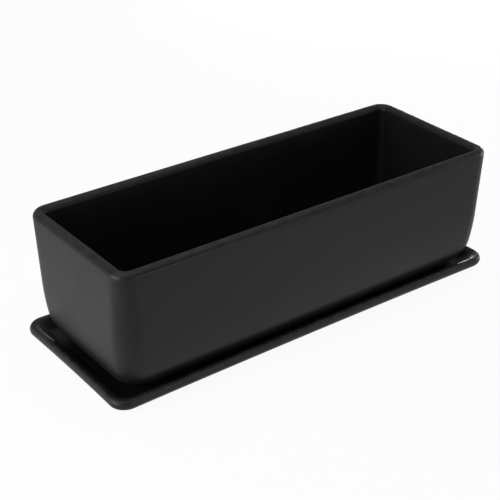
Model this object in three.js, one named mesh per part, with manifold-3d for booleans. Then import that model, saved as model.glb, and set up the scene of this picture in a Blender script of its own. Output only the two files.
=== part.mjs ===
// A rectangular ceramic planter: a slip-cast pot that stands loose in its saucer, on four rubber pads.
// Millimetres, +Z up. +X runs along the planter, and -Y is its front.
// The origin is on the surface that the planter stands on, under the middle of the saucer.

import * as THREE from "three";
import { mergeVertices } from "three/addons/utils/BufferGeometryUtils.js";
import Module from "manifold-3d";

// Pot, measured outside at the rim
const potLength = 305;
const potWidth = 113.5;
const potHeight = 92;
const wall = 8;
const potFloor = 8;

// The walls lean in by the draft from rim to base, and curve in further below the curve's height
const draft = 1.75;
const curveHeight = 42;
const curveDepth = 3.8;

// Upright corners, which soften towards the base and turn into the foot's wide ones round the heel
const rimCorner = 12;
const heelCorner = 15.5;
const footCorner = 28;
const leastCorner = 1.5;

// The heel is the round that turns the walls under, and the hollow is its like inside
const heelRise = 19.5;
const heelRun = 13;
const hollowRadius = 12;

// Foot ring under the pot, with notches that let water out into the saucer
const footWidth = 7;
const footHeight = 2.5;
const footDraft = 1.2;
const notchRadius = 5;
const notchDepth = 2;

// Drain holes, in a row along the middle of the pot's floor
const drainCount = 3;
const drainPitch = 95;
const drainRadius = 5.5;

// Saucer, whose lip reaches past the pot's rim all round
const lipPastEnds = 5.3;
const lipPastSides = 3.8;
const saucerHeight = 11.6;
const saucerFloor = 4.5;
const saucerCorner = 11;

// The lip rolls from its outermost line up to the crest, and down to the under edge.
// The slope sweeps from the crest down to the floor.
const lipCrestRise = 3.5;
const lipCrestRun = 1.9;
const lipUnder = 4;
const lipUnderRun = 4;
const slopeRun = 12;

// Foot ring under the saucer
const saucerFootInset = 11;
const saucerFootWidth = 7;
const saucerRecess = 1;

// Rubber pads in the recess under the saucer
const padRadius = 6;
const padThickness = 2.4;
const padEdge = 0.5;
const padFromFoot = 3;

// Seats and placing: the loose pot stands a little off the saucer's middle
const seatGap = 0.3;
const potAlong = 1.8;
const potForward = 1.4;

// How finely rounds are faceted
const cornerSteps = 8;
const heelSteps = 6;
const curveSteps = 6;
const rimSteps = 10;
const lipSteps = 4;
const slopeSteps = 8;
const holeSides = 24;
const padSides = 32;

const wasm = await Module();
wasm.setup();

const satinBlack = { color: 0x2b2b2c, roughness: 0.45, metalness: 0 };
const blackRubber = { color: 0x161616, roughness: 0.8, metalness: 0 };

// Points of a rectangle with round corners, anticlockwise as seen from above.
function roundedRing({ halfLength, halfWidth, corner, height }) {
  const radius = Math.max(corner, leastCorner);
  const points = [];
  const quarters = [[1, 1], [-1, 1], [-1, -1], [1, -1]];
  quarters.forEach(([sideX, sideY], quarter) => {
    for (let step = 0; step <= cornerSteps; step++) {
      const angle = (quarter + step / cornerSteps) * Math.PI / 2;
      const x = sideX * (halfLength - radius) + radius * Math.cos(angle);
      const y = sideY * (halfWidth - radius) + radius * Math.sin(angle);
      points.push(new THREE.Vector3(x, y, height));
    }
  });
  return points;
}

// A solid through a stack of rings of equal point counts, closed by a flat face at each end.
// The rings run from the middle of the underside, out and up round the outside, and back in to the middle.
function solidThroughRings(rings) {
  const perRing = rings[0].length;
  const positions = rings.flat().flatMap((point) => point.toArray());
  const faces = [];
  for (let ring = 0; ring + 1 < rings.length; ring++) {
    for (let i = 0; i < perRing; i++) {
      const next = (i + 1) % perRing;
      const low = ring * perRing;
      const high = low + perRing;
      faces.push(low + i, low + next, high + next, low + i, high + next, high + i);
    }
  }
  const last = (rings.length - 1) * perRing;
  for (let i = 1; i + 1 < perRing; i++) {
    faces.push(0, i + 1, i);
    faces.push(last, last + i, last + i + 1);
  }
  const geometry = new THREE.BufferGeometry();
  geometry.setAttribute("position", new THREE.Float32BufferAttribute(positions, 3));
  geometry.setIndex(faces);
  return geometry;
}

// A quarter round from straight down to straight out, as shares of its radius.
function quarterRound(steps) {
  return Array.from({ length: steps + 1 }, (unused, step) => {
    const angle = (step / steps) * Math.PI / 2;
    return { rise: 1 - Math.cos(angle), inset: 1 - Math.sin(angle) };
  });
}

function toSolid(geometry) {
  const bare = geometry.clone();
  bare.deleteAttribute("normal");
  bare.deleteAttribute("uv");
  const merged = mergeVertices(bare);
  return new wasm.Manifold(new wasm.Mesh({
    numProp: 3,
    vertProperties: merged.getAttribute("position").array,
    triVerts: new Uint32Array(merged.getIndex().array),
  }));
}

function toGeometry(solid) {
  const mesh = solid.getMesh();
  const geometry = new THREE.BufferGeometry();
  geometry.setAttribute("position", new THREE.BufferAttribute(mesh.vertProperties, 3));
  geometry.setIndex(new THREE.BufferAttribute(mesh.triVerts, 1));
  return geometry;
}

function named(name, geometry, finish) {
  const mesh = new THREE.Mesh(geometry, new THREE.MeshStandardMaterial(finish));
  mesh.geometry.computeVertexNormals();
  mesh.name = name;
  return mesh;
}

const rimRadius = wall / 2;
const rimBase = potHeight - rimRadius;

// How far the outside of the pot's walls has come in from the rim's outline at a height above its base.
function wallInset(height) {
  const below = Math.max(0, curveHeight - height) / curveHeight;
  return draft * Math.max(0, 1 - height / rimBase) + curveDepth * below ** 2;
}

// The radius of the pot's outer corners at a height above the heel.
function wallCorner(height) {
  const shareDown = Math.max(0, rimBase - height) / (rimBase - heelRise);
  return rimCorner + (heelCorner - rimCorner) * shareDown;
}

// The same, a share of the way in round the heel.
function heelCornerAt(share) {
  return heelCorner + (footCorner - heelCorner) * share;
}

// A ring of the pot at a height, moved in from the outside of its wall.
function potRing(height, inward, corner = wallCorner(height) - inward) {
  const inset = wallInset(height) + inward;
  return roundedRing({
    halfLength: potLength / 2 - inset,
    halfWidth: potWidth / 2 - inset,
    corner,
    height,
  });
}

function potBody() {
  const footInner = heelRun + footWidth;
  const footInnerCorner = footCorner - footWidth;
  const rings = [
    potRing(footHeight, footInner + footDraft, footInnerCorner),
    potRing(0, footInner, footInnerCorner),
  ];
  for (const { rise, inset } of quarterRound(heelSteps)) {
    rings.push(potRing(heelRise * rise, heelRun * inset, heelCornerAt(inset)));
  }
  for (let step = 1; step <= curveSteps; step++) {
    rings.push(potRing(heelRise + (curveHeight - heelRise) * step / curveSteps, 0));
  }
  for (let step = 0; step <= rimSteps; step++) {
    const angle = Math.PI * step / rimSteps;
    rings.push(potRing(rimBase + rimRadius * Math.sin(angle), rimRadius * (1 - Math.cos(angle))));
  }
  const hollowTop = potFloor + hollowRadius;
  for (let step = 0; step < curveSteps; step++) {
    rings.push(potRing(curveHeight + (hollowTop - curveHeight) * step / curveSteps, wall));
  }
  for (const { rise, inset } of quarterRound(heelSteps).reverse()) {
    const corner = heelCornerAt(inset) - wall;
    rings.push(potRing(potFloor + hollowRadius * rise, wall + hollowRadius * inset, corner));
  }
  return solidThroughRings(rings);
}

// Upright cutters for the drain holes.
function drainCutters() {
  return Array.from({ length: drainCount }, (unused, i) => {
    const cutter = new THREE.CylinderGeometry(drainRadius, drainRadius, potFloor * 3, holeSides);
    cutter.rotateX(Math.PI / 2);
    cutter.translate(drainPitch * (i - (drainCount - 1) / 2), 0, potFloor / 2);
    return cutter;
  });
}

// Round bars across the foot ring between the drain holes, which cut a notch in each long side.
function notchCutters() {
  return Array.from({ length: drainCount - 1 }, (unused, i) => {
    const cutter = new THREE.CylinderGeometry(notchRadius, notchRadius, potWidth, holeSides);
    cutter.translate(drainPitch * (i - (drainCount - 2) / 2), 0, notchDepth - notchRadius);
    return cutter;
  });
}

function potGeometry() {
  let solid = toSolid(potBody());
  for (const cutter of [...drainCutters(), ...notchCutters()]) {
    solid = solid.subtract(toSolid(cutter));
  }
  return toGeometry(solid);
}

const saucerHalfLength = potLength / 2 + lipPastEnds;
const saucerHalfWidth = potWidth / 2 + lipPastSides;

// A ring of the saucer, moved in from the outermost line of its lip. Its corners tighten a third as fast.
function saucerRing(height, inward) {
  return roundedRing({
    halfLength: saucerHalfLength - inward,
    halfWidth: saucerHalfWidth - inward,
    corner: saucerCorner - inward / 3,
    height,
  });
}

function saucerGeometry() {
  const footInner = saucerFootInset + saucerFootWidth;
  const rings = [
    saucerRing(saucerRecess, footInner),
    saucerRing(0, footInner),
    saucerRing(0, saucerFootInset),
  ];
  // From the under edge out and up to the outermost line
  const outermost = saucerHeight - lipCrestRise;
  for (const { rise, inset } of quarterRound(lipSteps)) {
    rings.push(saucerRing(lipUnder + (outermost - lipUnder) * rise, lipUnderRun * inset));
  }
  // On up and in to the crest
  for (let step = 1; step <= lipSteps; step++) {
    const angle = (step / lipSteps) * Math.PI / 2;
    const height = outermost + lipCrestRise * Math.sin(angle);
    rings.push(saucerRing(height, lipCrestRun * (1 - Math.cos(angle))));
  }
  // Down the slope to the floor
  for (let step = 1; step <= slopeSteps; step++) {
    const share = step / slopeSteps;
    const shareUp = (1 + Math.cos(Math.PI * share)) / 2;
    const height = saucerFloor + (saucerHeight - saucerFloor) * shareUp;
    rings.push(saucerRing(height, lipCrestRun + slopeRun * share));
  }
  return solidThroughRings(rings);
}

// A pad is a low disc with a turned edge.
function padGeometry() {
  const outline = [
    [0, 0],
    [padRadius - padEdge, 0],
    [padRadius, padEdge],
    [padRadius, padThickness],
    [0, padThickness],
  ].map(([radius, height]) => new THREE.Vector2(radius, height));
  return new THREE.LatheGeometry(outline, padSides);
}

const padPlaceX = saucerHalfLength - saucerFootInset - saucerFootWidth - padFromFoot - padRadius;
const padPlaceY = saucerHalfWidth - saucerFootInset - saucerFootWidth - padFromFoot - padRadius;
const saucerBase = padThickness + seatGap - saucerRecess;
const potBase = saucerBase + saucerFloor + seatGap;

const planter = new THREE.Group();

const saucer = named("saucer", saucerGeometry(), satinBlack);
saucer.position.z = saucerBase;
planter.add(saucer);

const pot = named("pot", potGeometry(), satinBlack);
pot.position.set(potAlong, -potForward, potBase);
planter.add(pot);

for (const [sideY, depth] of [[-1, "front"], [1, "back"]]) {
  for (const [sideX, end] of [[-1, "left"], [1, "right"]]) {
    const pad = named(`pad_${depth}_${end}`, padGeometry(), blackRubber);
    pad.rotation.x = Math.PI / 2;
    pad.position.set(sideX * padPlaceX, sideY * padPlaceY, 0);
    planter.add(pad);
  }
}

export default planter;
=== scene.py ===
"""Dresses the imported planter: a glazed pot, its saucer and rubber pads, on a white paper sweep."""

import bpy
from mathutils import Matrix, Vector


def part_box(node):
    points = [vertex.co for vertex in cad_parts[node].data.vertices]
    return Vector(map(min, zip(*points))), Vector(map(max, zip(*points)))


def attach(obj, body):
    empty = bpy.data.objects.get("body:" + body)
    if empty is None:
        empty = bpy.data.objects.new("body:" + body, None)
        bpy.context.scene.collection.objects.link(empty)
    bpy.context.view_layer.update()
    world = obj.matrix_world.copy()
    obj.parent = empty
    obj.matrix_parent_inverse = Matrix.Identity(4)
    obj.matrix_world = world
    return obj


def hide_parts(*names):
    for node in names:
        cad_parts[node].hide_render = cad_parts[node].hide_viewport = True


bl_info = {
    "name": "Rectangular Ceramic Planter",
    "version": (1, 0, 0),
    "blender": (4, 5, 0),
    "location": "View3D > Sidebar > Planter",
    "description": "Builds a satin black pot that stands in its saucer, and the studio around it",
    "category": "Object",
}

from math import cos, pi, radians, sin

import bmesh
import bpy
from bpy.props import FloatProperty, FloatVectorProperty, IntProperty, PointerProperty
from mathutils import Matrix, Vector, noise

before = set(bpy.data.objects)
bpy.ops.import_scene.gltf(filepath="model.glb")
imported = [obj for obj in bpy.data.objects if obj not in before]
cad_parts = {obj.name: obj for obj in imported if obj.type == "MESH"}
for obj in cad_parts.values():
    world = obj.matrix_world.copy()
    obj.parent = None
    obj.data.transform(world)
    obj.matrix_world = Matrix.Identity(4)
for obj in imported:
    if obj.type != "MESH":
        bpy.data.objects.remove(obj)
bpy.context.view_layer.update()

MM = 0.001

# How finely the surfaces are divided
CORNER_STEPS = 14
LONG_STEPS = 60
SHORT_STEPS = 22
ROUND_STEPS = 12
WALL_STEPS = 14
LATHE_SIDES = 48

# An edge that turns by more than this stays sharp
SHARP_ANGLE = radians(40)

# A ring's corners are never tighter than this
LEAST_CORNER = 1 * MM

# Width of the ring round each flat face, which keeps the face's shading flat
FLAT_EDGE = 1 * MM

# Material slots of a glazed piece
GLAZE, CLAY = 0, 1

# Half the side of the paper sweep, in metres
SWEEP_REACH = 6.0

# Width in millimetres of the film that the lens is measured for
FILM_WIDTH = 36

# Each lamp's place and size in metres. All of them face the point under the planter's middle.
LAMPS = {
    "top": (Vector((0, 0, 1.6)), (2.0, 2.0)),
    "left": (Vector((-0.72, 0.02, 0.2)), (0.55, 0.4)),
    "front": (Vector((0.15, -0.7, 0.12)), (0.3, 0.2)),
    "right": (Vector((0.68, -0.2, 0.12)), (0.3, 0.2)),
    "back": (Vector((0.6, 0.45, 0.05)), (0.5, 0.09)),
}


def linear(code):
    """The linear red, green, blue and alpha of an sRGB hex colour."""
    channels = [int(code[i : i + 2], 16) / 255 for i in (0, 2, 4)]
    return [c / 12.92 if c <= 0.04045 else ((c + 0.055) / 1.055) ** 2.4 for c in channels] + [1.0]


WHITE = linear("ffffff")


def length(title, text, millimetres):
    """A size that a user can change, kept in metres."""
    return FloatProperty(
        name=title, description=text, default=millimetres * MM, unit="LENGTH", precision=4
    )


def turn_angle(title, text, degrees):
    """An angle that a user can change."""
    return FloatProperty(name=title, description=text, default=radians(degrees), subtype="ANGLE")


def factor(title, text, value):
    """A share from 0 to 1 that a user can change."""
    return FloatProperty(
        name=title, description=text, default=value, subtype="FACTOR", min=0, max=1
    )


def colour(title, text, code):
    """A colour that a user can change."""
    return FloatVectorProperty(
        name=title, description=text, default=linear(code), size=4, subtype="COLOR", min=0, max=1
    )


def lamp_power(title, text, watts):
    """A lamp's power that a user can change."""
    return FloatProperty(name=title, description=text, default=watts, unit="POWER", min=0)


class PotSettings(bpy.types.PropertyGroup):
    """Sizes of the cast pot. Its outside length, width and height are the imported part's."""

    wall: length("Wall", "Thickness of the wall at the rim", 8)
    floor: length("Floor", "Thickness from the foot to the floor inside", 8)
    draft: length("Draft", "How far the walls lean in from the rim to the base", 1.75)
    rim_corner: length("Rim corner", "Radius of the upright corners at the rim", 12)
    heel_corner: length("Heel corner", "Radius of the upright corners above the heel", 15.5)
    foot_corner: length("Foot corner", "Radius of the corners of the foot's outline", 28)
    curve_height: length("Curve height", "Height below which the walls curve in", 42)
    curve_depth: length("Curve depth", "How far the walls have curved in at the base", 3.8)
    heel_rise: length("Heel rise", "Height of the round that turns the walls under", 19.5)
    heel_run: length("Heel run", "Width of the round that turns the walls under", 13)
    hollow: length("Hollow", "Radius of the round between walls and floor inside", 12)
    foot_width: length("Foot width", "Width of the foot ring", 7)
    foot_height: length("Foot height", "Depth of the recess inside the foot ring", 2.5)
    foot_draft: length("Foot draft", "How far the foot ring's inner side leans", 1.2)
    notch_radius: length("Notch radius", "Radius of the notches in the foot ring", 5)
    notch_depth: length("Notch depth", "Depth of the notches in the foot ring", 2)
    drain_count: IntProperty(
        name="Drain holes", description="Number of drain holes", default=3, min=1
    )
    drain_pitch: length("Drain pitch", "Distance from one drain hole to the next", 95)
    drain_radius: length("Drain radius", "Radius of each drain hole", 5.5)
    drain_round: length("Drain round", "Round that the glaze gives the mouth of a hole", 1.1)
    bare_rise: length("Bare rise", "Height over the foot up to which the clay is bare", 1)
    thin_reach: length("Thin reach", "How far down from the rim the glaze runs thin", 4)
    waver: length("Waver", "Unevenness of the cast walls", 0.22)
    waver_size: length("Waver size", "Distance from one swell of the walls to the next", 70)


class SaucerSettings(bpy.types.PropertyGroup):
    """Sizes of the saucer. Its outside length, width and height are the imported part's."""

    floor: length("Floor", "Thickness from the foot to the floor", 4.5)
    corner: length("Corner", "Radius of the corners of the lip", 11)
    crest_rise: length("Crest rise", "Height of the crest over the lip's outermost line", 3.5)
    crest_run: length("Crest run", "Distance of the crest in from the outermost line", 1.9)
    under: length("Under", "Height of the lip's lower edge over the foot", 4)
    under_run: length("Under run", "Distance of the lower edge in from the outermost line", 4)
    slope: length("Slope", "Width of the slope from the lip down to the floor", 12)
    foot_inset: length("Foot inset", "Distance of the foot ring in from the lip", 11)
    foot_width: length("Foot width", "Width of the foot ring", 7)
    recess: length("Recess", "Depth of the recess inside the foot ring", 1)
    long_bow: length("Long bow", "How far the lip's long sides have bowed in in drying", 1.4)
    short_bow: length("Short bow", "How far the lip's ends have bowed in in drying", 0.8)
    bow_height: length("Bow height", "Height from which up the sides are bowed in full", 4)
    thin_reach: length("Thin reach", "How far down from the crest the glaze runs thin", 5.25)
    waver: length("Waver", "Unevenness of the lip", 0.2)
    waver_size: length("Waver size", "Distance from one swell of the lip to the next", 60)


class PadSettings(bpy.types.PropertyGroup):
    """Sizes of the rubber pads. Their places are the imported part's."""

    edge: length("Edge", "Radius of a pad's edges", 0.6)
    dish: length("Dish", "Depth of the shallow dish in a pad's underside", 0.15)


class FinishSettings(bpy.types.PropertyGroup):
    """Colours of the finishes."""

    glaze: colour("Glaze", "Satin black glaze", "1a1a1a")
    glaze_pool: colour("Pooled glaze", "The glaze where it lies thicker", "151515")
    glaze_thin: colour("Thin glaze", "The glaze where it thins over a rim", "2b2a29")
    clay: colour("Clay", "Bare fired stoneware on the foot rings", "b9ab97")
    clay_grit: colour("Clay grit", "Darker grains in the bare stoneware", "8d7d69")
    rubber: colour("Rubber", "Moulded black rubber", "171717")
    sweep: colour("Sweep", "White paper sweep", "f2f2f2")


class StageSettings(bpy.types.PropertyGroup):
    """The camera, the light and the sweep."""

    turn: turn_angle("Turn", "Camera's turn to the left of the front", 36.75)
    rise: turn_angle("Rise", "Camera's angle above level", 28.9)
    distance: length("Distance", "Camera's distance from the point that it aims at", 851.2)
    lens: FloatProperty(name="Lens", description="Focal length", default=89.33, unit="CAMERA")
    aim_height: length("Aim height", "Height of the point that the camera aims at", 51.8)
    aim_right: length("Aim right", "Shift of that point to the camera's right", -13.3)
    aim_up: length("Aim up", "Shift of that point along the camera's upward direction", -8.1)
    top_power: lamp_power("Top lamp", "Power of the lamp above", 11)
    left_power: lamp_power("Left lamp", "Power of the low lamp at the left", 3.8)
    front_power: lamp_power("Front lamp", "Power of the low lamp in front", 0.6)
    right_power: lamp_power("Right lamp", "Power of the low lamp at the right", 1.2)
    back_power: lamp_power("Back lamp", "Power of the lamp behind, which is below the rim", 2)
    ambient: factor("Ambient", "Level of the light from all round, where 1 is white", 0.2)
    backdrop_gloss: factor("Backdrop gloss", "Share of white in the backdrop that gloss shows", 0.2)
    sweep_white: factor("Sweep white", "Share of white in the sweep as the camera sees it", 0.94)
    # The reach of the painted pool of light on the sweep, which only gloss sees
    painted_pool_inner: length("Pool inner", "Distance to which gloss shows the sweep as white", 120)
    painted_pool_outer: length("Pool outer", "Distance from which gloss shows the bare paper", 350)


def node(tree, kind, values=None, links=None, **settings):
    """Adds a node with its settings, input values and links, and returns it."""
    made = tree.nodes.new(kind)
    for name, value in settings.items():
        setattr(made, name, value)
    for socket, value in (values or {}).items():
        made.inputs[socket].default_value = value
    for socket, output in (links or {}).items():
        tree.links.new(output, made.inputs[socket])
    return made


def per(millimetres):
    """The texture scale that repeats a pattern at this distance."""
    return 1 / (millimetres * MM)


def new_material(name):
    """An empty material and its node tree."""
    material = bpy.data.materials.new(name)
    material.use_nodes = True
    material.node_tree.nodes.clear()
    return material, material.node_tree


def satin_glaze(name, crest, reach):
    """Dipped black stoneware glaze, fired to a satin: dark, softly shiny, and greyer where thin.

    crest is the height of the edge that the glaze has run off, and reach is how far below it the
    thin band ends.
    """
    finish = bpy.context.scene.planter_finish
    material, tree = new_material(name)
    place = node(tree, "ShaderNodeTexCoord").outputs["Object"]

    # A dipped coat swells and thins over a few centimetres, in height, shade and sheen
    swell = node(
        tree,
        "ShaderNodeTexNoise",
        {"Scale": per(38), "Detail": 3.0, "Roughness": 0.55},
        {"Vector": place},
    ).outputs["Fac"]
    body = node(
        tree,
        "ShaderNodeMix",
        {"A": finish.glaze_pool, "B": finish.glaze},
        {"Factor": swell},
        data_type="RGBA",
    ).outputs["Result"]
    sheen = node(
        tree,
        "ShaderNodeMapRange",
        {"From Min": 0.3, "From Max": 0.7, "To Min": 0.36, "To Max": 0.44},
        {"Value": swell},
    ).outputs["Result"]
    soft = node(
        tree, "ShaderNodeBump", {"Strength": 0.35, "Distance": 0.35 * MM}, {"Height": swell}
    ).outputs["Normal"]

    # Satin glazes are very slightly pebbled, at about a millimetre
    pebble = node(
        tree,
        "ShaderNodeTexNoise",
        {"Scale": per(1.3), "Detail": 2.0, "Roughness": 0.5},
        {"Vector": place},
    ).outputs["Fac"]
    fine = node(
        tree,
        "ShaderNodeBump",
        {"Strength": 0.25, "Distance": 0.05 * MM},
        {"Height": pebble, "Normal": soft},
    ).outputs["Normal"]

    # Gas leaves pinholes in firing, about a centimetre apart. Real ones are some 0.5 mm across,
    # which is too fine to show, so these are 0.8 mm across.
    pore = node(
        tree, "ShaderNodeTexVoronoi", {"Scale": per(11), "Randomness": 1.0}, {"Vector": place}
    ).outputs["Distance"]
    pinhole = node(
        tree,
        "ShaderNodeMapRange",
        {"From Min": 0.0, "From Max": 0.035},
        {"Value": pore},
        interpolation_type="SMOOTHSTEP",
    ).outputs["Result"]
    pitted = node(
        tree,
        "ShaderNodeBump",
        {"Strength": 0.5, "Distance": 0.12 * MM},
        {"Height": pinhole, "Normal": fine},
    ).outputs["Normal"]

    # The band under the crest runs thin, in streaks a few millimetres long
    height = node(tree, "ShaderNodeSeparateXYZ", links={"Vector": place}).outputs["Z"]
    near_crest = node(
        tree,
        "ShaderNodeMapRange",
        {"From Min": crest - reach, "From Max": crest},
        {"Value": height},
        interpolation_type="SMOOTHSTEP",
    ).outputs["Result"]
    streak = node(
        tree,
        "ShaderNodeTexNoise",
        {"Scale": per(6), "Detail": 4.0, "Roughness": 0.65},
        {"Vector": place},
    ).outputs["Fac"]
    streak_share = node(
        tree,
        "ShaderNodeMapRange",
        {"From Min": 0.42, "From Max": 0.66, "To Min": 0.12, "To Max": 1.0},
        {"Value": streak},
    ).outputs["Result"]
    thin = node(
        tree, "ShaderNodeMath", links={0: near_crest, 1: streak_share}, operation="MULTIPLY"
    ).outputs[0]
    shade = node(
        tree,
        "ShaderNodeMix",
        {"B": finish.glaze_thin},
        {"Factor": thin, "A": body},
        data_type="RGBA",
    ).outputs["Result"]

    shader = node(
        tree,
        "ShaderNodeBsdfPrincipled",
        {"IOR": 1.5, "Metallic": 0.0, "Specular IOR Level": 0.2},
        {"Base Color": shade, "Roughness": sheen, "Normal": pitted},
    )
    node(tree, "ShaderNodeOutputMaterial", links={"Surface": shader.outputs["BSDF"]})
    return material


def bare_stoneware():
    """Unglazed fired stoneware, wiped clean so that a foot doesn't stick: pale, dry and gritty."""
    finish = bpy.context.scene.planter_finish
    material, tree = new_material("bare_stoneware")
    place = node(tree, "ShaderNodeTexCoord").outputs["Object"]

    # Grit of about 0.5 mm
    grit = node(
        tree,
        "ShaderNodeTexNoise",
        {"Scale": per(0.7), "Detail": 3.0, "Roughness": 0.7},
        {"Vector": place},
    ).outputs["Fac"]
    paler = node(
        tree, "ShaderNodeMapRange", {"From Min": 0.42, "From Max": 0.62}, {"Value": grit}
    ).outputs["Result"]
    shade = node(
        tree,
        "ShaderNodeMix",
        {"A": finish.clay_grit, "B": finish.clay},
        {"Factor": paler},
        data_type="RGBA",
    ).outputs["Result"]
    rough = node(
        tree, "ShaderNodeBump", {"Strength": 0.5, "Distance": 0.1 * MM}, {"Height": grit}
    ).outputs["Normal"]

    shader = node(
        tree,
        "ShaderNodeBsdfPrincipled",
        {"IOR": 1.5, "Roughness": 0.88},
        {"Base Color": shade, "Normal": rough},
    )
    node(tree, "ShaderNodeOutputMaterial", links={"Surface": shader.outputs["BSDF"]})
    return material


def moulded_rubber():
    """Black rubber moulded in a spark-eroded tool: matt, with a fine even grain."""
    finish = bpy.context.scene.planter_finish
    material, tree = new_material("moulded_rubber")
    place = node(tree, "ShaderNodeTexCoord").outputs["Object"]

    # Grain of 0.4 mm
    grain = node(
        tree, "ShaderNodeTexNoise", {"Scale": per(0.4), "Detail": 2.0}, {"Vector": place}
    ).outputs["Fac"]
    rough = node(
        tree, "ShaderNodeBump", {"Strength": 0.4, "Distance": 0.04 * MM}, {"Height": grain}
    ).outputs["Normal"]
    dull = node(
        tree,
        "ShaderNodeMapRange",
        {"From Min": 0.3, "From Max": 0.7, "To Min": 0.7, "To Max": 0.85},
        {"Value": grain},
    ).outputs["Result"]

    shader = node(
        tree,
        "ShaderNodeBsdfPrincipled",
        {"Base Color": finish.rubber, "IOR": 1.52},
        {"Roughness": dull, "Normal": rough},
    )
    node(tree, "ShaderNodeOutputMaterial", links={"Surface": shader.outputs["BSDF"]})
    return material


def seen_directly(tree, values=None, links=None):
    """1 on rays from the camera, input 1 on what gloss and glass show, and 0 on rays of light.

    values or links give input 1.
    """
    path = node(tree, "ShaderNodeLightPath").outputs
    mirrored = node(
        tree,
        "ShaderNodeMath",
        links={0: path["Is Glossy Ray"], 1: path["Is Transmission Ray"]},
        operation="MAXIMUM",
    ).outputs[0]
    links = {0: mirrored, 2: path["Is Camera Ray"], **(links or {})}
    return node(tree, "ShaderNodeMath", values, links, operation="MULTIPLY_ADD").outputs[0]


def white_paper():
    """A matt paper sweep, burnt out to near white, keeping the planter's shadow and a painted pool
    of light.
    """
    stage = bpy.context.scene.planter_stage
    finish = bpy.context.scene.planter_finish
    material, tree = new_material("white_paper")
    paper = node(tree, "ShaderNodeBsdfDiffuse", {"Color": finish.sweep}).outputs["BSDF"]
    white = node(tree, "ShaderNodeEmission", {"Color": WHITE, "Strength": 1.0}).outputs["Emission"]

    # Painted light: gloss sees the paper white near the planter, and bare further out, and the glaze
    # mirrors it
    place = node(tree, "ShaderNodeTexCoord").outputs["Object"]
    away = node(
        tree, "ShaderNodeVectorMath", links={0: place}, operation="LENGTH"
    ).outputs["Value"]
    painted_light_pool = node(
        tree,
        "ShaderNodeMapRange",
        {"From Min": stage.painted_pool_inner, "From Max": stage.painted_pool_outer, "To Min": 1.0, "To Max": 0.0},
        {"Value": away},
        interpolation_type="SMOOTHSTEP",
    ).outputs["Result"]
    # The camera sees the sweep as even near-white, while gloss sees the painted pool of light
    burnt_out_and_painted_pool = node(
        tree,
        "ShaderNodeMath",
        {1: stage.sweep_white},
        {0: seen_directly(tree, links={1: painted_light_pool})},
        operation="MULTIPLY",
    ).outputs[0]

    mixed = node(tree, "ShaderNodeMixShader", links={0: burnt_out_and_painted_pool, 1: paper, 2: white})
    node(tree, "ShaderNodeOutputMaterial", links={"Surface": mixed.outputs["Shader"]})
    return material


def ring(half_length, half_width, corner, height):
    """Points round a rectangle with round corners, anticlockwise as seen from above."""
    corner = max(corner, LEAST_CORNER)
    arcs = []
    for quarter, (side_x, side_y) in enumerate(((1, 1), (-1, 1), (-1, -1), (1, -1))):
        centre = Vector((side_x * (half_length - corner), side_y * (half_width - corner), height))
        angles = [(quarter + step / CORNER_STEPS) * pi / 2 for step in range(CORNER_STEPS + 1)]
        arcs.append([centre + corner * Vector((cos(angle), sin(angle), 0)) for angle in angles])
    points = []
    for quarter, arc in enumerate(arcs):
        start, end = arc[-1], arcs[(quarter + 1) % 4][0]
        steps = SHORT_STEPS if quarter % 2 else LONG_STEPS
        points += arc + [start.lerp(end, step / steps) for step in range(1, steps)]
    return points


def quarter_round(steps):
    """A quarter round that faces down at its start and out at its end, as (rise, inset) shares."""
    angles = [step / steps * pi / 2 for step in range(steps + 1)]
    return [(1 - cos(angle), 1 - sin(angle)) for angle in angles]


def new_piece(name, mesh, materials):
    """An object with these materials, made from a bmesh, which is freed."""
    mesh.normal_update()
    data = bpy.data.meshes.new(name)
    mesh.to_mesh(data)
    mesh.free()
    for material in materials:
        data.materials.append(material)
    piece = bpy.data.objects.new(name, data)
    bpy.context.scene.collection.objects.link(piece)
    return piece


def skin(rings, bare):
    """A closed bmesh through a stack of rings, with a flat face at each end.

    bare holds the numbers of the strips between rings that are clay. The rest are glazed.
    """
    mesh = bmesh.new()
    loops = [[mesh.verts.new(point) for point in points] for points in rings]
    count = len(loops[0])
    for strip, (lower, upper) in enumerate(zip(loops, loops[1:])):
        for i in range(count):
            after = (i + 1) % count
            face = mesh.faces.new((lower[i], lower[after], upper[after], upper[i]))
            face.material_index = CLAY if strip in bare else GLAZE
    mesh.faces.new(list(reversed(loops[0])))
    mesh.faces.new(loops[-1])
    return mesh


def turned(profile):
    """A closed bmesh turned round +Z from (radius, height) points, from the axis to the axis."""
    mesh = bmesh.new()
    angles = [2 * pi * side / LATHE_SIDES for side in range(LATHE_SIDES)]
    loops = []
    for radius, height in profile:
        if radius == 0:
            loops.append([mesh.verts.new((0, 0, height))] * LATHE_SIDES)
        else:
            points = [(radius * cos(angle), radius * sin(angle), height) for angle in angles]
            loops.append([mesh.verts.new(point) for point in points])
    for lower, upper in zip(loops, loops[1:]):
        for i in range(LATHE_SIDES):
            after = (i + 1) % LATHE_SIDES
            corners = (lower[i], lower[after], upper[after], upper[i])
            # On the axis two of the four are the same point, which leaves a triangle
            mesh.faces.new(tuple(dict.fromkeys(corners)))
    return mesh


def cut(piece, cutters):
    """Cuts closed pieces out of another, and takes the cutters away."""
    for cutter in cutters:
        modifier = piece.modifiers.new("cut", "BOOLEAN")
        modifier.object = cutter
        modifier.operation = "DIFFERENCE"
        modifier.solver = "EXACT"
    graph = bpy.context.evaluated_depsgraph_get()
    cut_mesh = bpy.data.meshes.new_from_object(piece.evaluated_get(graph))
    piece.modifiers.clear()
    piece.data = cut_mesh
    for cutter in cutters:
        bpy.data.objects.remove(cutter)


def smooth(piece):
    """Shades a piece smooth, apart from its sharp edges."""
    piece.data.shade_smooth()
    piece.data.set_sharp_from_angle(angle=SHARP_ANGLE)


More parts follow.
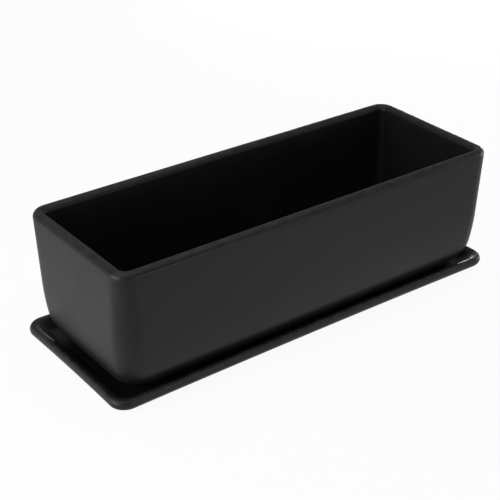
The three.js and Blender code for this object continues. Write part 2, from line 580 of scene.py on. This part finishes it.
def middle_and_half(node_name):
    """The middle of a CAD node's underside, half its length and width, and its whole height."""
    low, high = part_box(node_name)
    middle = Vector(((low.x + high.x) / 2, (low.y + high.y) / 2, low.z))
    return middle, (high.x - low.x) / 2, (high.y - low.y) / 2, high.z - low.z


def wavered(point, half_length, half_width, tall, settings):
    """Where casting has left a point: uneven, more so the higher it is, and only ever inwards."""
    share_up = max(0.0, min(1.0, point.z / tall))
    depth = settings.waver * share_up
    # The noise is -1 to 1, which makes each of these -depth to 0
    swell = (noise.noise(point / settings.waver_size) - 1) / 2 * depth
    sink = (noise.noise(point.yxz / settings.waver_size) - 1) / 2 * depth
    return Vector((
        point.x * (1 + swell / half_length),
        point.y * (1 + swell / half_width),
        point.z + sink,
    ))


class PLANTER_OT_pot(bpy.types.Operator):
    """Build the cast pot, with its rim, hollow, foot ring and drain holes"""

    bl_idname = "planter.pot"
    bl_label = "Pot"

    def execute(self, context):
        pot = context.scene.planter_pot
        base, half_length, half_width, tall = middle_and_half("pot")
        rings, bare = self.rings(pot, half_length, half_width, tall)
        for i, points in enumerate(rings):
            rings[i] = [wavered(p, half_length, half_width, tall, pot) for p in points]
        glaze = satin_glaze("satin_black_glaze_pot", base.z + tall, pot.thin_reach)
        piece = new_piece("cast_pot", skin(rings, bare), [glaze, bare_stoneware()])
        cut(piece, self.drain_cutters(pot) + self.notch_cutters(pot, half_width))
        piece.data.transform(Matrix.Translation(base))
        smooth(piece)
        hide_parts("pot")
        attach(piece, "pot_body")
        return {"FINISHED"}

    @staticmethod
    def rings(pot, half_length, half_width, tall):
        """The pot's rings and its bare strips.

        The rings run from the middle of the underside, up the outside and over the rim, to the
        middle of the floor.
        """
        rim_radius = pot.wall / 2
        rim_base = tall - rim_radius

        def corner_at(height):
            share_down = max(0.0, rim_base - height) / (rim_base - pot.heel_rise)
            return pot.rim_corner + (pot.heel_corner - pot.rim_corner) * share_down

        def turned_in(share):
            return pot.heel_corner + (pot.foot_corner - pot.heel_corner) * share

        def at(height, inward, corner=None):
            below = max(0.0, pot.curve_height - height) / pot.curve_height
            lean = pot.draft * max(0.0, 1 - height / rim_base) + pot.curve_depth * below**2
            inset = lean + inward
            corner = corner_at(height) - inward if corner is None else corner
            return ring(half_length - inset, half_width - inset, corner, height)

        # The recess and the foot ring
        foot_inner = pot.heel_run + pot.foot_width
        recess_edge = foot_inner + pot.foot_draft
        inner_corner = pot.foot_corner - pot.foot_width
        rings = [
            at(pot.foot_height, recess_edge + FLAT_EDGE, inner_corner - FLAT_EDGE),
            at(pot.foot_height, recess_edge, inner_corner),
            at(0, foot_inner, inner_corner),
        ]

        # The heel, whose first strips are as bare as the foot
        heel = quarter_round(ROUND_STEPS)
        first_bare = len(rings) - 1
        bare_count = sum(pot.heel_rise * rise < pot.bare_rise for rise, _ in heel)
        for rise, inset in heel:
            rings.append(at(pot.heel_rise * rise, pot.heel_run * inset, turned_in(inset)))

        # Up the wall and over the rim
        for step in range(1, WALL_STEPS + 1):
            rings.append(at(pot.heel_rise + (rim_base - pot.heel_rise) * step / WALL_STEPS, 0))
        for step in range(1, 2 * ROUND_STEPS + 1):
            angle = pi * step / (2 * ROUND_STEPS)
            height = tall - rim_radius * (1 - sin(angle))
            rings.append(at(height, rim_radius * (1 - cos(angle))))

        # Down the inside and in to the floor
        hollow_top = pot.floor + pot.hollow
        for step in range(1, WALL_STEPS):
            rings.append(at(rim_base + (hollow_top - rim_base) * step / WALL_STEPS, pot.wall))
        for rise, inset in reversed(quarter_round(ROUND_STEPS)):
            corner = turned_in(inset) - pot.wall
            rings.append(at(pot.floor + pot.hollow * rise, pot.wall + pot.hollow * inset, corner))
        rings.append(at(pot.floor, pot.wall + pot.hollow + FLAT_EDGE, corner - FLAT_EDGE))
        return rings, range(first_bare, first_bare + bare_count)

    @staticmethod
    def drain_cutters(pot):
        """Turned cutters for the drain holes, which leave each mouth rounded."""
        lower, upper = pot.foot_height, pot.floor
        wide = pot.drain_radius + pot.drain_round
        mouth = quarter_round(ROUND_STEPS // 2)
        profile = [(0, lower - MM), (wide, lower - MM)]
        for rise, inset in reversed(mouth):
            radius = wide - pot.drain_round * (1 - inset)
            profile.append((radius, lower + pot.drain_round * (1 - rise)))
        for rise, inset in mouth:
            radius = wide - pot.drain_round * (1 - inset)
            profile.append((radius, upper - pot.drain_round * (1 - rise)))
        profile += [(wide, upper + MM), (0, upper + MM)]
        cutters = []
        for i in range(pot.drain_count):
            cutter = new_piece("drain_cutter", turned(profile), [])
            cutter.location.x = pot.drain_pitch * (i - (pot.drain_count - 1) / 2)
            cutters.append(cutter)
        return cutters

    @staticmethod
    def notch_cutters(pot, half_width):
        """Round bars across the foot ring, between the drain holes."""
        reach = 2 * half_width
        profile = [(0, 0), (pot.notch_radius, 0), (pot.notch_radius, reach), (0, reach)]
        cutters = []
        for i in range(pot.drain_count - 1):
            cutter = new_piece("notch_cutter", turned(profile), [])
            cutter.rotation_euler.x = radians(90)
            along = pot.drain_pitch * (i - (pot.drain_count - 2) / 2)
            cutter.location = (along, half_width, pot.notch_depth - pot.notch_radius)
            cutters.append(cutter)
        return cutters


class PLANTER_OT_saucer(bpy.types.Operator):
    """Build the saucer, with its rolled lip and foot ring"""

    bl_idname = "planter.saucer"
    bl_label = "Saucer"

    def execute(self, context):
        saucer = context.scene.planter_saucer
        base, half_length, half_width, tall = middle_and_half("saucer")
        rings, bare = self.rings(saucer, half_length, half_width, tall)
        for i, points in enumerate(rings):
            points = [self.bowed(p, half_length, half_width, saucer) for p in points]
            rings[i] = [wavered(p, half_length, half_width, tall, saucer) for p in points]
        glaze = satin_glaze("satin_black_glaze_saucer", base.z + tall, saucer.thin_reach)
        piece = new_piece("cast_saucer", skin(rings, bare), [glaze, bare_stoneware()])
        piece.data.transform(Matrix.Translation(base))
        smooth(piece)
        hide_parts("saucer")
        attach(piece, "saucer_body")
        return {"FINISHED"}

    @staticmethod
    def bowed(point, half_length, half_width, saucer):
        """Where drying has drawn a point: the sides bow in between their corners."""
        share_up = max(0.0, min(1.0, point.z / saucer.bow_height))
        short_bow = saucer.short_bow * max(0.0, 1 - (point.y / half_width) ** 2) * share_up
        long_bow = saucer.long_bow * max(0.0, 1 - (point.x / half_length) ** 2) * share_up
        return Vector((
            point.x * (1 - short_bow / half_length),
            point.y * (1 - long_bow / half_width),
            point.z,
        ))

    @staticmethod
    def rings(saucer, half_length, half_width, tall):
        """The saucer's rings and its bare strips.

        The rings run from the middle of the underside, round the lip, to the middle of the floor.
        """

        def at(height, inward):
            # The corners tighten a third as fast as the outline comes in
            corner = saucer.corner - inward / 3
            return ring(half_length - inward, half_width - inward, corner, height)

        # The recess and the foot ring. The strips from the first of these to the last are bare.
        foot_inner = saucer.foot_inset + saucer.foot_width
        rings = [
            at(saucer.recess, foot_inner + FLAT_EDGE),
            at(saucer.recess, foot_inner),
            at(0, foot_inner),
            at(0, saucer.foot_inset),
        ]
        bare = range(1, len(rings) - 1)

        # Out and up from the lower edge to the outermost line, and on to the crest
        outermost = tall - saucer.crest_rise
        for rise, inset in quarter_round(ROUND_STEPS):
            height = saucer.under + (outermost - saucer.under) * rise
            rings.append(at(height, saucer.under_run * inset))
        for step in range(1, ROUND_STEPS + 1):
            angle = step / ROUND_STEPS * pi / 2
            height = tall - saucer.crest_rise * (1 - sin(angle))
            rings.append(at(height, saucer.crest_run * (1 - cos(angle))))

        # Down the slope and in to the floor
        for step in range(1, 2 * ROUND_STEPS + 1):
            share = step / (2 * ROUND_STEPS)
            height = saucer.floor + (tall - saucer.floor) * (1 + cos(pi * share)) / 2
            rings.append(at(height, saucer.crest_run + saucer.slope * share))
        rings.append(at(saucer.floor, saucer.crest_run + saucer.slope + FLAT_EDGE))
        return rings, bare


class PLANTER_OT_pads(bpy.types.Operator):
    """Build the rubber pads under the saucer"""

    bl_idname = "planter.pads"
    bl_label = "Pads"

    def execute(self, context):
        pad = context.scene.planter_pad
        rubber = moulded_rubber()
        for name in sorted(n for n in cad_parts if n.startswith("pad_")):
            base, radius, _, tall = middle_and_half(name)
            piece = new_piece("rubber_" + name, turned(self.profile(pad, radius, tall)), [rubber])
            piece.data.transform(Matrix.Translation(base))
            smooth(piece)
            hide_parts(name)
            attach(piece, "saucer_body")
        return {"FINISHED"}

    @staticmethod
    def profile(pad, radius, tall):
        """A pad's outline: a dish, the flat round it, a round edge, and a side with some draft."""
        dish_radius, flat_radius = radius - 3 * pad.edge, radius - 2 * pad.edge
        profile = [(0, pad.dish), (dish_radius, pad.dish), (flat_radius, 0)]
        for rise, inset in quarter_round(ROUND_STEPS // 2):
            profile.append((radius - pad.edge * inset, pad.edge * rise))
        return profile + [(radius - pad.edge / 2, tall), (0, tall)]


class PLANTER_OT_stage(bpy.types.Operator):
    """Set up the sweep, the light and the camera"""

    bl_idname = "planter.stage"
    bl_label = "Stage"

    def execute(self, context):
        stage = context.scene.planter_stage
        self.add_sweep()
        self.add_world(context.scene, stage)
        self.add_camera(context.scene, stage)
        for side, (place, size) in LAMPS.items():
            self.add_lamp(side + "_lamp", place, size, getattr(stage, side + "_power"))
        context.scene.view_settings.view_transform = "Standard"
        return {"FINISHED"}

    @staticmethod
    def add_sweep():
        """The paper that the planter stands on."""
        mesh = bmesh.new()
        bmesh.ops.create_grid(mesh, x_segments=1, y_segments=1, size=SWEEP_REACH)
        sweep = new_piece("paper_sweep", mesh, [white_paper()])

    @staticmethod
    def add_world(scene, stage):
        """Even light from all round, which the camera sees as white."""
        world = bpy.data.worlds.new("studio")
        world.use_nodes = True
        tree = world.node_tree
        tree.nodes.clear()
        light = node(tree, "ShaderNodeBackground", {"Color": WHITE, "Strength": stage.ambient})
        white = node(tree, "ShaderNodeBackground", {"Color": WHITE, "Strength": 1.0})
        seen = seen_directly(tree, values={1: stage.backdrop_gloss})
        mixed = node(
            tree,
            "ShaderNodeMixShader",
            links={0: seen, 1: light.outputs["Background"], 2: white.outputs["Background"]},
        )
        node(tree, "ShaderNodeOutputWorld", links={"Surface": mixed.outputs["Shader"]})
        scene.world = world

    @staticmethod
    def add_lamp(name, place, size, power):
        """A soft lamp that faces the planter."""
        data = bpy.data.lights.new(name, "AREA")
        data.shape = "RECTANGLE"
        data.size, data.size_y = size
        data.energy = power
        lamp = bpy.data.objects.new(name, data)
        lamp.location = place
        lamp.rotation_euler = (-place).to_track_quat("-Z", "Y").to_euler()
        lamp.visible_camera = False
        bpy.context.scene.collection.objects.link(lamp)

    @staticmethod
    def add_camera(scene, stage):
        """A camera where the photograph was taken from."""
        back = Vector((
            -sin(stage.turn) * cos(stage.rise),
            -cos(stage.turn) * cos(stage.rise),
            sin(stage.rise),
        ))
        right = Vector((cos(stage.turn), -sin(stage.turn), 0))
        up = back.cross(right)
        base, _, _, _ = middle_and_half("pot")
        middle = Vector((base.x, base.y, stage.aim_height))
        aim = middle + stage.aim_right * right + stage.aim_up * up
        data = bpy.data.cameras.new("camera")
        data.lens = stage.lens
        data.sensor_width = FILM_WIDTH
        camera = bpy.data.objects.new("camera", data)
        camera.location = aim + stage.distance * back
        camera.rotation_euler = (-back).to_track_quat("-Z", "Y").to_euler()
        scene.collection.objects.link(camera)
        scene.camera = camera


class PLANTER_PT_sidebar(bpy.types.Panel):
    """The planter's builders and settings, in the sidebar"""

    bl_idname = "PLANTER_PT_sidebar"
    bl_label = "Planter"
    bl_space_type = "VIEW_3D"
    bl_region_type = "UI"
    bl_category = "Planter"

    def draw(self, context):
        for operator in OPERATORS:
            self.layout.operator(operator.bl_idname)
        for group_name in GROUPS:
            group = getattr(context.scene, group_name)
            for name in group.__annotations__:
                self.layout.prop(group, name)


OPERATORS = (PLANTER_OT_pot, PLANTER_OT_saucer, PLANTER_OT_pads, PLANTER_OT_stage)
GROUPS = {
    "planter_pot": PotSettings,
    "planter_saucer": SaucerSettings,
    "planter_pad": PadSettings,
    "planter_finish": FinishSettings,
    "planter_stage": StageSettings,
}
CLASSES = (*GROUPS.values(), *OPERATORS, PLANTER_PT_sidebar)


def register():
    """Adds the classes, and the settings to the scene."""
    for cls in CLASSES:
        bpy.utils.register_class(cls)
    for name, group in GROUPS.items():
        setattr(bpy.types.Scene, name, PointerProperty(type=group))


def unregister():
    """Takes the settings and the classes away again."""
    for name in GROUPS:
        delattr(bpy.types.Scene, name)
    for cls in reversed(CLASSES):
        bpy.utils.unregister_class(cls)


def main():
    """Builds the planter and its stage."""
    register()
    bpy.ops.planter.stage()
    bpy.ops.planter.pot()
    bpy.ops.planter.saucer()
    bpy.ops.planter.pads()


if __name__ == "__main__":
    main()
